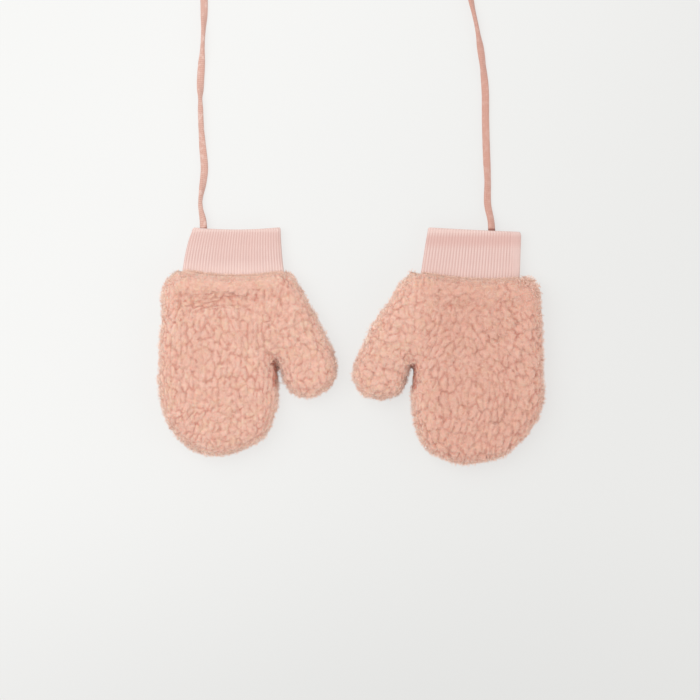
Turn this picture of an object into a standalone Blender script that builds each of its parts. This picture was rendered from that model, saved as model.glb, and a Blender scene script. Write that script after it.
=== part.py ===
"""A pair of baby mittens laid flat on a table, joined by one long knitted cord.

Each mitten is a back and a palm of thick teddy fleece, cut with the thumb in one piece, and a cuff of
doubled 1 x 1 rib. Sizes are in millimetres, and MM turns them into metres as a mesh is made. X runs
across the pair, Y from the finger tips to the cuffs, and Z up from the table. The origin is on the
table, under the middle of the two mittens.
"""

import math

import bpy
import numpy as np
from mathutils import Vector, noise
from mathutils.geometry import delaunay_2d_cdt

MM = 0.001
SEAM_GAP = 0.3

# The fleece, pile included; levels are heights above the table.
PALM_TOP = 6.35
PALM_SIDE_FOOT = 4.0
PALM_FOOT_ROUND = 5.0
BACK_SIDE_WALL = 2.2
BACK_SIDE_ROUND = 9.0
BACK_TOP = 16.2
CROWN_RISE = 1.4
CROWN_REACH = 30.0
WRIST_TOP = 12.6
WRIST_ROUND = 6.0
HOLLOW = 3.2
HOLLOW_REACH = 12.0
LUMP_SIZE = 7.0
LUMP_RISE = 0.7

# The rib cuff is a flattened tube that climbs from the table to the wrist seam.
CUFF_WALL = 2.2
CUFF_HOLLOW = 3.4
CUFF_LIFT = 3.6
CUFF_FLAT_SHARE = 0.3
CUFF_FOLD_ROUND = 0.9
OUTSIDE_POWER = 4.5
INSIDE_POWER = 6.0
CUFF_LIP_ROUND = 0.5
RIBS_SHOWN = 42
RIB_RISE = 0.34
POINTS_PER_RIB = 4
UNDERSIDE_SHARE = 0.42
UNDERSIDE_POINTS = 18
INSIDE_POINTS = 48
CUFF_ROWS = (0.0, 0.04, 0.28, 0.52, 0.76, 1.0)
CUFF_INSIDE_ROWS = (0.0, 0.3, 0.65, 1.0)

# The flat knitted cord, which lies on the table and climbs into each cuff's mouth.
CORD_WIDTH = 4.2
CORD_THICKNESS = 2.4
CORD_LEVEL = CORD_THICKNESS / 2 + 0.05
CORD_MOUTH_LEVEL = CUFF_WALL + CUFF_HOLLOW / 2
CORD_LEVEL_IN_MOUTH = 8.0
CORD_LEVEL_ON_TABLE = 24.0
CORD_TILT = math.pi / 2
CORD_STEP = 8.8

# Spacing of the points that the panels' faces stand on.
CURVE_SAMPLES = 24
CURVE_STEP = 0.5
SECTION_SAMPLES = 1441
SECTION_NEAR = 0.4
OUTLINE_STEP = 3.2
RING_KEEP = 0.97
RING_THIN = 0.7
GRID_MARGIN = 0.6
BACK_GRID = 4.0
PLAIN_GRID = 9.0
BACK_RINGS = (1.2, 3.2, 6.0, 9.0)
PALM_RINGS = (1.6, 3.6, 6.0)
INSIDE_RINGS = (4.0, 9.0)

# Each mitten is a row of sections from the wrist to the finger tips. Its outer edge is the little
# finger's side and its inner edge the thumb's. Below the crotch the thumb has sections of its own.
LEFT = {
    "name": "mitten_left",
    "seed": 3.0,
    # x, y of the wrist seam's outer end, middle and inner end
    "seam": ((-99.2, 43.2), (-67.9, 39.3), (-36.5, 41.9)),
    # y, outer edge x, inner edge x
    "palm": (
        (38.4, -104.9, -32.4),
        (31.6, -106.9, -28.5),
        (22.5, -107.7, -23.4),
        (13.4, -107.8, -18.6),
        (4.3, -108.1, -14.0),
        (-2.6, -108.6, -10.6),
        (-9.4, -109.0, -8.7),
    ),
    "crotch": (-42.7, -8.3),
    # y, outer edge x, inner edge x
    "fingers": (
        (-17.0, -109.2, -41.4),
        (-25.4, -108.9, -41.6),
        (-32.2, -108.0, -42.5),
        (-41.3, -105.4, -44.2),
        (-50.4, -100.2, -48.6),
        (-57.3, -93.0, -57.0),
    ),
    "finger_tip": (-76.5, -62.8),
    # y, crotch edge x, free edge x
    "thumb": (
        (-15.0, -39.9, -8.5),
        (-20.8, -38.1, -10.2),
        (-25.8, -34.4, -14.6),
    ),
    "thumb_tip": (-24.9, -29.7),
    # from x, y, to x, y, half width, rise
    "folds": (
        (-98.0, 34.6, -40.0, 34.6, 5.0, 0.9),
        (-97.0, 24.8, -60.0, 25.6, 3.4, -2.0),
        (-60.0, 25.6, -42.0, 30.5, 3.4, -0.9),
        (-50.0, 8.0, -43.5, -10.0, 6.0, -1.4),
    ),
    # x, y of the mouth's outer corner, middle and inner corner
    "mouth": ((-90.9, 67.5), (-65.5, 66.1), (-40.2, 67.5)),
    # outer and inner edge x halfway down the cuff, and at the seam
    "cuff_middle": (-94.0, -39.6),
    "cuff_seam": (-95.8, -38.2),
}
RIGHT = {
    "name": "mitten_right",
    "seed": 11.0,
    "seam": ((100.6, 38.3), (67.5, 37.4), (34.4, 42.4)),
    "palm": (
        (37.0, 103.4, 29.5),
        (34.6, 105.6, 28.0),
        (31.6, 106.8, 26.4),
        (22.5, 108.1, 20.2),
        (13.4, 108.6, 14.2),
        (4.3, 108.7, 9.3),
        (-2.6, 108.7, 5.7),
        (-9.4, 108.9, 2.5),
    ),
    "crotch": (35.3, -10.8),
    "fingers": (
        (-20.0, 109.4, 34.8),
        (-29.9, 109.4, 34.2),
        (-36.8, 107.8, 35.0),
        (-43.6, 104.7, 36.0),
        (-50.4, 100.3, 38.1),
        (-57.3, 94.1, 41.9),
        (-63.0, 85.6, 49.2),
    ),
    "finger_tip": (67.0, -67.4),
    "thumb": (
        (-16.2, 32.4, 1.5),
        (-21.4, 30.8, 2.6),
        (-27.0, 27.4, 6.6),
    ),
    "thumb_tip": (18.0, -30.9),
    "folds": (
        (40.0, 34.0, 100.0, 32.2, 5.0, 0.9),
        (54.0, 22.8, 90.0, 22.0, 3.8, -1.9),
        (43.5, 6.0, 36.5, -13.0, 6.0, -1.4),
        (99.0, 24.0, 86.0, 6.0, 5.0, -0.9),
    ),
    "mouth": ((97.1, 64.8), (70.4, 65.9), (43.9, 67.4)),
    "cuff_middle": (96.7, 41.9),
    "cuff_seam": (96.0, 39.9),
}

# The cord's route by eye: up from the left cuff, over in one slack arch and down to the right cuff.
CORD_ROUTE = (
    (-84.2, 59.5),
    (-84.4, 70.4),
    (-86.1, 80.7),
    (-84.4, 94.3),
    (-83.8, 101.2),
    (-84.9, 114.9),
    (-85.8, 128.5),
    (-86.1, 149.0),
    (-84.9, 169.6),
    (-84.0, 196.9),
    (-86.0, 215.0),
    (-90.0, 234.0),
    (-92.0, 253.0),
    (-88.0, 273.0),
    (-75.0, 290.0),
    (-54.0, 300.0),
    (-30.0, 303.5),
    (-5.0, 304.0),
    (20.0, 303.0),
    (44.0, 299.0),
    (62.0, 290.0),
    (72.5, 276.0),
    (75.0, 259.0),
    (71.5, 242.0),
    (67.5, 225.0),
    (66.8, 210.0),
    (68.7, 196.9),
    (72.0, 181.5),
    (75.0, 162.7),
    (76.7, 146.0),
    (76.9, 128.5),
    (77.5, 108.0),
    (78.1, 94.3),
    (78.1, 80.7),
    (80.0, 70.4),
    (80.4, 59.0),
)


def smooth_curve(points, step):
    """Points about a step apart on a smooth curve through the given ones, both ends kept."""
    knots = np.array(points, float)
    spans = np.sqrt(np.linalg.norm(np.diff(knots, axis=0), axis=1))[:, None]
    slopes = np.diff(knots, axis=0) / spans
    before, after = spans[:-1], spans[1:]
    inner = (slopes[:-1] * after + slopes[1:] * before) / (before + after)
    tangents = np.vstack([slopes[:1], inner, slopes[-1:]])
    t = np.linspace(0.0, 1.0, CURVE_SAMPLES, endpoint=False)[:, None]
    fine = []
    for start, end, leave, arrive, span in zip(knots, knots[1:], tangents, tangents[1:], spans):
        stretch = (2 * t**3 - 3 * t**2 + 1) * start + (3 * t**2 - 2 * t**3) * end
        stretch += (t**3 - 2 * t**2 + t) * span * leave + (t**3 - t**2) * span * arrive
        fine.append(stretch)
    return even_steps(np.vstack(fine + [knots[-1:]]), step)


def even_steps(points, step):
    """The same line as points an equal way apart, as near to the step as its length allows."""
    lengths = np.concatenate([[0.0], np.cumsum(np.linalg.norm(np.diff(points, axis=0), axis=1))])
    places = np.linspace(0.0, lengths[-1], max(2, round(lengths[-1] / step) + 1))
    return np.column_stack([np.interp(places, lengths, column) for column in points.T])


def arc_through(three_points, x):
    """Height at x of the parabola through three points."""
    return np.polyval(np.polyfit(*np.array(three_points).T, 2), x)


def smoothstep(low, high, value):
    t = np.clip((value - low) / (high - low), 0.0, 1.0)
    return t * t * (3 - 2 * t)


def quarter_round(distance, reach):
    """A quarter ellipse: 0 at the edge, 1 from the reach inwards."""
    return np.sqrt(1 - (1 - np.clip(distance / reach, 0.0, 1.0)) ** 2)


def distance_to(points, line):
    """Distance from each point to the nearest place on an open line."""
    starts = line[:-1]
    ways = line[1:] - starts
    offsets = points[:, None] - starts
    share = np.clip((offsets * ways).sum(2) / (ways * ways).sum(1), 0.0, 1.0)
    return np.linalg.norm(offsets - share[..., None] * ways, axis=2).min(1)


def sewn_edge(mitten):
    """The edge where back and palm are sewn: little-finger side, tip, crotch, thumb, thumb side."""
    palm, fingers, thumb = mitten["palm"], mitten["fingers"], mitten["thumb"]
    seam = mitten["seam"]
    hand = [seam[0]]
    hand += [(outer, y) for y, outer, inner in palm + fingers]
    hand += [mitten["finger_tip"]]
    hand += [(inner, y) for y, outer, inner in reversed(fingers)]
    hand += [mitten["crotch"]]
    side = [mitten["crotch"]]
    side += [(crotch_edge, y) for y, crotch_edge, free_edge in thumb]
    side += [mitten["thumb_tip"]]
    side += [(free_edge, y) for y, crotch_edge, free_edge in reversed(thumb)]
    side += [(inner, y) for y, outer, inner in reversed(palm)]
    side += [seam[2]]
    return np.vstack([smooth_curve(hand, CURVE_STEP), smooth_curve(side, CURVE_STEP)[1:]])


def wrist_edge(mitten):
    """The edge of a panel at the wrist seam, from the thumb's side back to the little finger's."""
    seam = mitten["seam"]
    x = np.linspace(seam[2][0], seam[0][0], 100)
    return np.column_stack([x, arc_through(seam, x)])


def inset_rings(outline, line, distances):
    """Points on rings inside the outline, at each of the distances and an outline step apart."""
    ways = np.roll(outline, -1, axis=0) - np.roll(outline, 1, axis=0)
    inward = np.column_stack([-ways[:, 1], ways[:, 0]])
    inward /= np.linalg.norm(inward, axis=1)[:, None]
    kept = []
    for distance in distances:
        ring = outline + inward * distance
        ring = ring[distance_to(ring, line) > RING_KEEP * distance]
        last = np.array([np.inf, np.inf])
        for point in ring:
            if np.linalg.norm(point - last) > RING_THIN * OUTLINE_STEP:
                kept.append(point)
                last = point
    return np.array(kept)


def grid_inside(line, spacing, margin):
    """Points of a triangular grid inside a closed line, at least a margin from it."""
    low, high = line.min(0), line.max(0)
    rows = np.arange(low[1], high[1], spacing * math.sqrt(0.75))
    points = [
        (x + 0.5 * spacing * (number % 2), y)
        for number, y in enumerate(rows)
        for x in np.arange(low[0], high[0], spacing)
    ]
    points = np.array(points)
    return points[inside(points, line) & (distance_to(points, line) > margin)]


def inside(points, line):
    """Which points lie inside a closed line, by counting the edges to their right."""
    odd = np.zeros(len(points), bool)
    for (x0, y0), (x1, y1) in zip(line, line[1:]):
        if y0 == y1:
            continue
        between = (points[:, 1] >= min(y0, y1)) & (points[:, 1] < max(y0, y1))
        crossing = x0 + (points[:, 1] - y0) * (x1 - x0) / (y1 - y0)
        odd ^= between & (points[:, 0] < crossing)
    return odd


def triangulate(outline, more_points):
    """Triangles between an outline and points inside it, with the outline's points first."""
    points = np.vstack([outline, more_points])
    count = len(outline)
    edges = [(i, (i + 1) % count) for i in range(count)]
    found = delaunay_2d_cdt([Vector(point) for point in points], edges, [], 1, 1e-6)
    first_of = [originals[0] for originals in found[3]]
    return points, [tuple(first_of[i] for i in face) for face in found[2]]


def back_outside(points, mitten, sewn, wrist):
    """Height of the back's pile: rounded at its edges, with its folds and its low lumps."""
    to_edge = distance_to(points, sewn)
    to_wrist = distance_to(points, wrist)
    foot = PALM_TOP + SEAM_GAP + BACK_SIDE_WALL
    crown = BACK_TOP + CROWN_RISE * quarter_round(np.minimum(to_edge, to_wrist), CROWN_REACH)
    top = WRIST_TOP + (crown - WRIST_TOP) * quarter_round(to_wrist, WRIST_ROUND)
    height = foot + (top - foot) * quarter_round(to_edge, BACK_SIDE_ROUND)
    relief = sum(fold_height(points, *fold) for fold in mitten["folds"])
    relief = relief + LUMP_RISE * lumps(points, mitten["seed"])
    return height + relief * smoothstep(0.5, 6.0, np.minimum(to_edge, to_wrist + 2.0))


def fold_height(points, x0, y0, x1, y1, half_width, rise):
    """A soft ridge, or with a negative rise a trough, along a line from one point to another."""
    away = distance_to(points, np.array([(x0, y0), (x1, y1)]))
    return rise * np.exp(-((away / half_width) ** 2))


def lumps(points, seed):
    return np.array([noise.noise(Vector((x, y, seed * LUMP_SIZE)) / LUMP_SIZE) for x, y in points])


def back_inside(points, sewn):
    """Height of the back's plain inside, which lies on the palm along the seam."""
    open_share = smoothstep(0.0, HOLLOW_REACH, distance_to(points, sewn))
    return PALM_TOP + SEAM_GAP + (HOLLOW - SEAM_GAP) * open_share


def palm_outside(points, line):
    """Height of the palm's underside: flat on the table and rounded up to its edges."""
    return PALM_SIDE_FOOT * (1 - quarter_round(distance_to(points, line), PALM_FOOT_ROUND))


def add_panels(mitten, fleece):
    """The back and the palm of one mitten: two walls of fleece with a shallow hollow between them."""
    sewn, wrist = sewn_edge(mitten), wrist_edge(mitten)
    outline = np.vstack([even_steps(sewn, OUTLINE_STEP)[:-1], even_steps(wrist, OUTLINE_STEP)[:-1]])
    if mitten["seam"][0][0] > mitten["seam"][2][0]:
        outline = outline[::-1]
    line = np.vstack([outline, outline[:1]])
    plain = surface(outline, line, INSIDE_RINGS, PLAIN_GRID)
    pile = surface(outline, line, BACK_RINGS, BACK_GRID)
    underside = surface(outline, line, PALM_RINGS, PLAIN_GRID)
    back_top = back_outside(pile[0], mitten, sewn, wrist)
    add_wall(mitten["name"] + "_back", pile, back_top, plain, back_inside(plain[0], sewn), fleece)
    flat = np.full(len(plain[0]), PALM_TOP)
    add_wall(mitten["name"] + "_palm", plain, flat, underside, palm_outside(underside[0], line), fleece)


def surface(outline, line, rings, spacing):
    """Points and triangles over an outline, closer together at its edge."""
    middle = grid_inside(line, spacing, rings[-1] + GRID_MARGIN * spacing)
    return triangulate(outline, np.vstack([inset_rings(outline, line, rings), middle]))


def add_wall(name, upper, upper_height, lower, lower_height, cloth):
    """A closed wall between two surfaces that share one outline, which runs anticlockwise."""
    upper_points, upper_faces = upper
    lower_points, lower_faces = lower
    base = len(upper_points)
    count = shared_outline_length(upper_points, lower_points)
    vertices = np.vstack(
        [np.column_stack([upper_points, upper_height]), np.column_stack([lower_points, lower_height])]
    )
    faces = list(upper_faces)
    faces += [tuple(base + i for i in reversed(face)) for face in lower_faces]
    for i in range(count):
        after = (i + 1) % count
        faces.append((base + i, base + after, after, i))
    add_mesh(name, vertices, faces, cloth)


def shared_outline_length(points, others):
    """How many points two surfaces have in common at the start of their lists."""
    shortest = min(len(points), len(others))
    same = np.all(points[:shortest] == others[:shortest], axis=1)
    return shortest if same.all() else int(np.argmin(same))


def section_line(half_width, half_height, power):
    """A flattened round section as a fine closed line, from the middle of its underside."""
    turn = np.linspace(-0.5 * math.pi, 1.5 * math.pi, SECTION_SAMPLES)
    across, up = np.cos(turn), np.sin(turn)
    x = half_width * np.sign(across) * np.abs(across) ** (2 / power)
    z = half_height * np.sign(up) * np.abs(up) ** (2 / power)
    return np.column_stack([x, z])


def section_points(line, places):
    """Points and outward directions at places from 0 to 1 along a closed section line."""
    ways = np.diff(line, axis=0)
    lengths = np.concatenate([[0.0], np.cumsum(np.linalg.norm(ways, axis=1))])
    at = places * lengths[-1]
    ahead, behind = (points_along(line, lengths, at + side * SECTION_NEAR) for side in (1, -1))
    way = ahead - behind
    outward = np.column_stack([way[:, 1], -way[:, 0]])
    return points_along(line, lengths, at), outward / np.linalg.norm(outward, axis=1)[:, None]


def points_along(line, lengths, at):
    """Points at distances along a closed line, which may run past its end."""
    return np.column_stack([np.interp(at % lengths[-1], lengths, column) for column in line.T])


def rib_places():
    """Places round the section: a few on the plain underside, then four to a rib, and each one's rise."""
    half = np.linspace(0.0, UNDERSIDE_SHARE / 2, UNDERSIDE_POINTS // 2, endpoint=False)
    ribbed = RIBS_SHOWN * POINTS_PER_RIB
    ribs = np.linspace(UNDERSIDE_SHARE / 2, 1 - UNDERSIDE_SHARE / 2, ribbed + 1)
    places = np.concatenate([half, ribs, 1 - half[:0:-1]])
    wave = 0.5 - 0.5 * np.cos(2 * math.pi * np.arange(ribbed + 1) / POINTS_PER_RIB)
    rise = np.concatenate([np.zeros(len(half)), wave, np.zeros(len(half) - 1)])
    return places, rise


def cuff_ring(mitten, t, grow, places, rise, power):
    """One ring of the cuff at t from its mouth (0) to the wrist seam (1), grown or shrunk by grow."""
    left, right = cuff_side(mitten, 0, t), cuff_side(mitten, 1, t)
    centre, half_width = (left + right) / 2, abs(right - left) / 2
    half_height = CUFF_WALL + CUFF_HOLLOW / 2
    line = section_line(half_width + grow, half_height + grow, power)
    points, outward = section_points(line, places)
    points = points + outward * (rise * RIB_RISE)[:, None]
    across = points[:, 0] / half_width
    mouth, seam = mitten["mouth"], mitten["seam"]
    at_mouth = arc_through(mouth, middle_of(mouth) + across * half_span(mouth))
    cuff_seam = mitten["cuff_seam"]
    seam_x = sum(cuff_seam) / 2 + across * abs(cuff_seam[1] - cuff_seam[0]) / 2
    at_seam = arc_through(seam, seam_x) + SEAM_GAP
    y = at_mouth + (at_seam - at_mouth) * t
    lift = CUFF_LIFT * smoothstep(CUFF_FLAT_SHARE, 1.0, t)
    return np.column_stack([centre + points[:, 0], y, lift + half_height + points[:, 1]])


def cuff_side(mitten, side, t):
    """x of one edge of the cuff, bowed through its mouth, its middle and its seam end."""
    levels = (mitten["mouth"][2 * side][0], mitten["cuff_middle"][side], mitten["cuff_seam"][side])
    return arc_through(tuple(zip((0.0, 0.5, 1.0), levels)), t)


def middle_of(three_points):
    return (three_points[0][0] + three_points[2][0]) / 2


def half_span(three_points):
    return abs(three_points[2][0] - three_points[0][0]) / 2


def add_cuff(mitten, rib):
    """A doubled rib tube, ribbed outside and plain inside, with a rounded fold at its mouth."""
    places, rise = rib_places()
    inner_places = np.linspace(0.0, 1.0, INSIDE_POINTS, endpoint=False)
    flat = np.zeros(INSIDE_POINTS)
    outer = []
    for t in CUFF_ROWS:
        shrink = CUFF_FOLD_ROUND if t == 0.0 else 0.0
        outer.append(cuff_ring(mitten, t, -shrink, places, rise, OUTSIDE_POWER))
    inner = []
    for t in CUFF_INSIDE_ROWS:
        widen = CUFF_LIP_ROUND if t == 0.0 else 0.0
        inner.append(cuff_ring(mitten, t, widen - CUFF_WALL, inner_places, flat, INSIDE_POWER))
    vertices = np.vstack(outer + inner)
    base = len(outer) * len(places)
    faces = tube_faces(0, len(outer), len(places))
    faces += [tuple(reversed(face)) for face in tube_faces(base, len(inner), INSIDE_POINTS)]
    faces += [tuple(reversed(face)) for face in bridge(places, 0, inner_places, base)]
    last_outer = (len(outer) - 1) * len(places)
    last_inner = base + (len(inner) - 1) * INSIDE_POINTS
    faces += bridge(places, last_outer, inner_places, last_inner)
    add_mesh(mitten["name"] + "_cuff", vertices, faces, rib)


def tube_faces(first, rings, count):
    """Quads between rings of points, which follow each other from a first index on."""
    faces = []
    for ring in range(rings - 1):
        for i in range(count):
            a, b = first + ring * count + i, first + ring * count + (i + 1) % count
            faces.append((a, b, b + count, a + count))
    return faces


def bridge(places, first, other_places, other_first):
    """Triangles that join two closed rings of points by their places from 0 to 1."""
    faces = []
    i = j = 0
    count, other_count = len(places), len(other_places)
    ahead = np.append(places, 1.0)
    other_ahead = np.append(other_places, 1.0)
    while i < count or j < other_count:
        a, b = first + i % count, other_first + j % other_count
        if j == other_count or (i < count and ahead[i + 1] <= other_ahead[j + 1]):
            faces.append((a, first + (i + 1) % count, b))
            i += 1
        else:
            faces.append((a, other_first + (j + 1) % other_count, b))
            j += 1
    return faces


def add_cord(knit):
    """The cord as a flat band with round edges, that rises from the table into both mouths."""
    route = smooth_curve(CORD_ROUTE, CORD_STEP)
    from_start = np.arange(len(route)) * np.linalg.norm(route[1] - route[0])
    from_end = np.minimum(from_start, from_start[::-1])
    on_table = smoothstep(CORD_LEVEL_IN_MOUTH, CORD_LEVEL_ON_TABLE, from_end)
    level = CORD_MOUTH_LEVEL + (CORD_LEVEL - CORD_MOUTH_LEVEL) * on_table
    curve = bpy.data.curves.new("cord", "CURVE")
    curve.dimensions = "3D"
    curve.twist_mode = "Z_UP"
    curve.extrude = (CORD_WIDTH - CORD_THICKNESS) / 2 * MM
    curve.bevel_depth = CORD_THICKNESS / 2 * MM
    curve.bevel_resolution = 2
    curve.use_fill_caps = True
    spline = curve.splines.new("POLY")
    spline.points.add(len(route) - 1)
    for point, (x, y), z in zip(spline.points, route, level):
        point.co = (x * MM, y * MM, z * MM, 1.0)
        point.tilt = CORD_TILT
    curve.materials.append(knit)
    bpy.context.scene.collection.objects.link(bpy.data.objects.new("cord", curve))


def add_mesh(name, vertices, faces, cloth):
    mesh = bpy.data.meshes.new(name)
    mesh.from_pydata([tuple(vertex) for vertex in vertices * MM], [], faces)
    mesh.materials.append(cloth)
    mesh.shade_smooth()
    mesh.set_sharp_from_angle(angle=math.radians(50))
    bpy.context.scene.collection.objects.link(bpy.data.objects.new(name, mesh))


def cloth_material(name, colour, roughness):
    material = bpy.data.materials.new(name)
    material.use_nodes = True
    shader = material.node_tree.nodes["Principled BSDF"]
    shader.inputs["Base Color"].default_value = (*colour, 1.0)
    shader.inputs["Roughness"].default_value = roughness
    shader.inputs["Metallic"].default_value = 0.0
    return material


def main():
    for old in list(bpy.data.objects):
        bpy.data.objects.remove(old, do_unlink=True)
    fleece = cloth_material("fleece", (0.78, 0.45, 0.35), 0.95)
    rib = cloth_material("rib", (0.85, 0.58, 0.52), 0.9)
    knit = cloth_material("cord", (0.77, 0.48, 0.39), 0.85)
    for mitten in (LEFT, RIGHT):
        add_panels(mitten, fleece)
        add_cuff(mitten, rib)
    add_cord(knit)


main()
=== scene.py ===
"""A pair of teddy-fleece baby mittens on a pale table, joined by one long knitted cord."""

import math

import bpy
import numpy as np
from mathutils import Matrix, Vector


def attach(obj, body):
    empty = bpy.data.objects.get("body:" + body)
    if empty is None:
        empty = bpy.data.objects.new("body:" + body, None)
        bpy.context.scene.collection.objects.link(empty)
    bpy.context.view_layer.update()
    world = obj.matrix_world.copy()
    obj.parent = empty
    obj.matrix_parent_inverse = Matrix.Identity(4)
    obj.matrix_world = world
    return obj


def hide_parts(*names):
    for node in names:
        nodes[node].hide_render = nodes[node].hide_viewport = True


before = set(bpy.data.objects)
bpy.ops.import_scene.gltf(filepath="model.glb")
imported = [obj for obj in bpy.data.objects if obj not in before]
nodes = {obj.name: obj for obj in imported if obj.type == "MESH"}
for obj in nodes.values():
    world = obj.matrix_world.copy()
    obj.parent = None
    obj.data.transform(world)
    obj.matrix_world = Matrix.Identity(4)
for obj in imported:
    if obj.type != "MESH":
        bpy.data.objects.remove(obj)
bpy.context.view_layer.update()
scene = bpy.context.scene
MM = 0.001

# ---------------------------------------------------------------- the view
# The pair lies on a pale table and is seen from straight above, in soft light
# that comes mostly from the left. Sizes here are in metres.
VIEW_CENTRE = Vector((-0.57, -2.6, 7.0)) * MM
VIEW_WIDTH = 399.0 * MM
VIEW_HEIGHT_ABOVE = 2.0
SENSOR = 36.0
# each light's name, place, size, power and colour; both look at the table's middle
LIGHTS = (
    ("softbox", (-0.62, 0.37, 1.2), 1.4, 13.1, (1.0, 1.0, 0.99)),
    ("reflector", (0.95, -0.45, 0.4), 0.9, 3.4, (1.0, 0.985, 0.96)),
)
ROOM_COLOUR = (1.0, 1.0, 0.995, 1.0)
ROOM_STRENGTH = 0.58
TABLE_HALF = 3.0
TABLE_COLOUR = (0.17, 0.17, 0.168)
# the table's own glow, which fades from left to right and towards the finger tips
TABLE_GLOW = 0.685
GLOW_LEFT = (1.06, 1.06, 1.045)
GLOW_RIGHT = (0.92, 0.92, 0.905)
GLOW_TOWARDS_TIPS = (0.915, 0.915, 0.915)

camera = bpy.data.objects.new("camera", bpy.data.cameras.new("camera"))
camera.location = VIEW_CENTRE + Vector((0, 0, VIEW_HEIGHT_ABOVE))
camera.data.sensor_width = SENSOR
camera.data.lens = SENSOR * VIEW_HEIGHT_ABOVE / VIEW_WIDTH
scene.collection.objects.link(camera)
scene.camera = camera
scene.view_settings.view_transform = "Standard"


class Value:
    """A number worked out in a tree of nodes, so that a sum on it adds its Math nodes."""

    def __init__(self, tree, socket):
        self.tree, self.socket = tree, socket

    def maths(self, operation, *others):
        numbers = dict(enumerate((self, *others)))
        made = self.tree.node("ShaderNodeMath", {"operation": operation}, numbers)
        return Value(self.tree, made.outputs[0])

    def __add__(self, other):
        return self.maths("ADD", other)

    def __sub__(self, other):
        return self.maths("SUBTRACT", other)

    def __rsub__(self, other):
        return self * -1.0 + other

    def __mul__(self, other):
        return self.maths("MULTIPLY", other)

    def __truediv__(self, other):
        return self.maths("DIVIDE", other)

    def __rtruediv__(self, other):
        return self.maths("POWER", -1.0) * other

    def __pow__(self, other):
        return self.maths("POWER", other)

    __radd__ = __add__
    __rmul__ = __mul__

    def ramp(self, low, high, start=0.0, end=1.0):
        """A soft step from start, at or below low, to end, at or above high."""
        settings = {"interpolation_type": "SMOOTHSTEP"}
        inputs = {"Value": self, "From Min": low, "From Max": high, "To Min": start, "To Max": end}
        return Value(self.tree, self.tree.node("ShaderNodeMapRange", settings, inputs).outputs[0])


class Tree:
    """A tree of nodes, where one call makes a node, sets it and links its sockets."""

    def node(self, kind, settings=None, inputs=None):
        made = self.tree.nodes.new(kind)
        for name, value in (settings or {}).items():
            setattr(made, name, value)
        for name, value in (inputs or {}).items():
            self.feed(made.inputs[name], value)
        return made

    def feed(self, socket, value):
        if isinstance(value, Value):
            value = value.socket
        if isinstance(value, bpy.types.NodeSocket):
            self.tree.links.new(value, socket)
        elif isinstance(value, tuple) and socket.type == "RGBA":
            socket.default_value = (*value, 1.0)
        else:
            socket.default_value = value

    def vector(self, operation, first, *others):
        """Vector maths; a scale's factor is its last number."""
        inputs = {0: first}
        inputs.update({3: others[0]} if operation == "SCALE" else dict(enumerate(others, 1)))
        made = self.node("ShaderNodeVectorMath", {"operation": operation}, inputs)
        if operation in ("DOT_PRODUCT", "LENGTH", "DISTANCE"):
            return Value(self, made.outputs["Value"])
        return made.outputs["Vector"]

    def part(self, vector, axis):
        """A vector's x, y or z as a number: axis 0, 1 or 2."""
        return Value(self, self.node("ShaderNodeSeparateXYZ", None, {0: vector}).outputs[axis])

    def noise(self, place, scale, detail=2.0, roughness=0.5):
        inputs = {"Vector": place, "Scale": scale, "Detail": detail, "Roughness": roughness}
        return self.node("ShaderNodeTexNoise", None, inputs)

    def cloud(self, place, scale, detail=2.0, roughness=0.5):
        return Value(self, self.noise(place, scale, detail, roughness).outputs[0])


class Shader(Tree):
    """One material with a Principled surface, whose constants go on its own sockets."""

    def __init__(self, name, **constants):
        self.material = bpy.data.materials.new(name)
        self.material.use_nodes = True
        self.tree = self.material.node_tree
        self.surface = self.tree.nodes["Principled BSDF"]
        for socket, value in constants.items():
            self.feed(self.surface.inputs[socket.replace("_", " ")], value)
        self.place = self.node("ShaderNodeTexCoord").outputs["Object"]
        self.uv = self.node("ShaderNodeTexCoord").outputs["UV"]

    def attribute(self, name):
        return Value(self, self.node("ShaderNodeAttribute", {"attribute_name": name}).outputs["Fac"])

    def blend(self, share, first, second, mode="MIX"):
        settings = {"data_type": "RGBA", "blend_type": mode}
        return self.node("ShaderNodeMix", settings, {0: share, 6: first, 7: second}).outputs[2]

    def bump(self, height, distance, strength=1.0):
        inputs = {"Height": height, "Distance": distance, "Strength": strength}
        return self.node("ShaderNodeBump", None, inputs).outputs["Normal"]

    def finish(self, **links):
        for socket, value in links.items():
            self.feed(self.surface.inputs[socket.replace("_", " ")], value)
        return self.material


def linear(red, green, blue):
    """A colour given as 0 to 255, in the linear values that shaders take."""
    return tuple(((c / 255 + 0.055) / 1.055) ** 2.4 for c in (red, green, blue))


for name, spot, size, power, colour in LIGHTS:
    light = bpy.data.objects.new(name, bpy.data.lights.new(name, "AREA"))
    light.data.size = size
    light.data.energy = power
    light.data.color = colour
    light.location = spot
    light.rotation_euler = (-Vector(spot)).to_track_quat("-Z", "Y").to_euler()
    scene.collection.objects.link(light)
world = bpy.data.worlds.new("room")
world.use_nodes = True
world.node_tree.nodes["Background"].inputs["Color"].default_value = ROOM_COLOUR
world.node_tree.nodes["Background"].inputs["Strength"].default_value = ROOM_STRENGTH
scene.world = world

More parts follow.
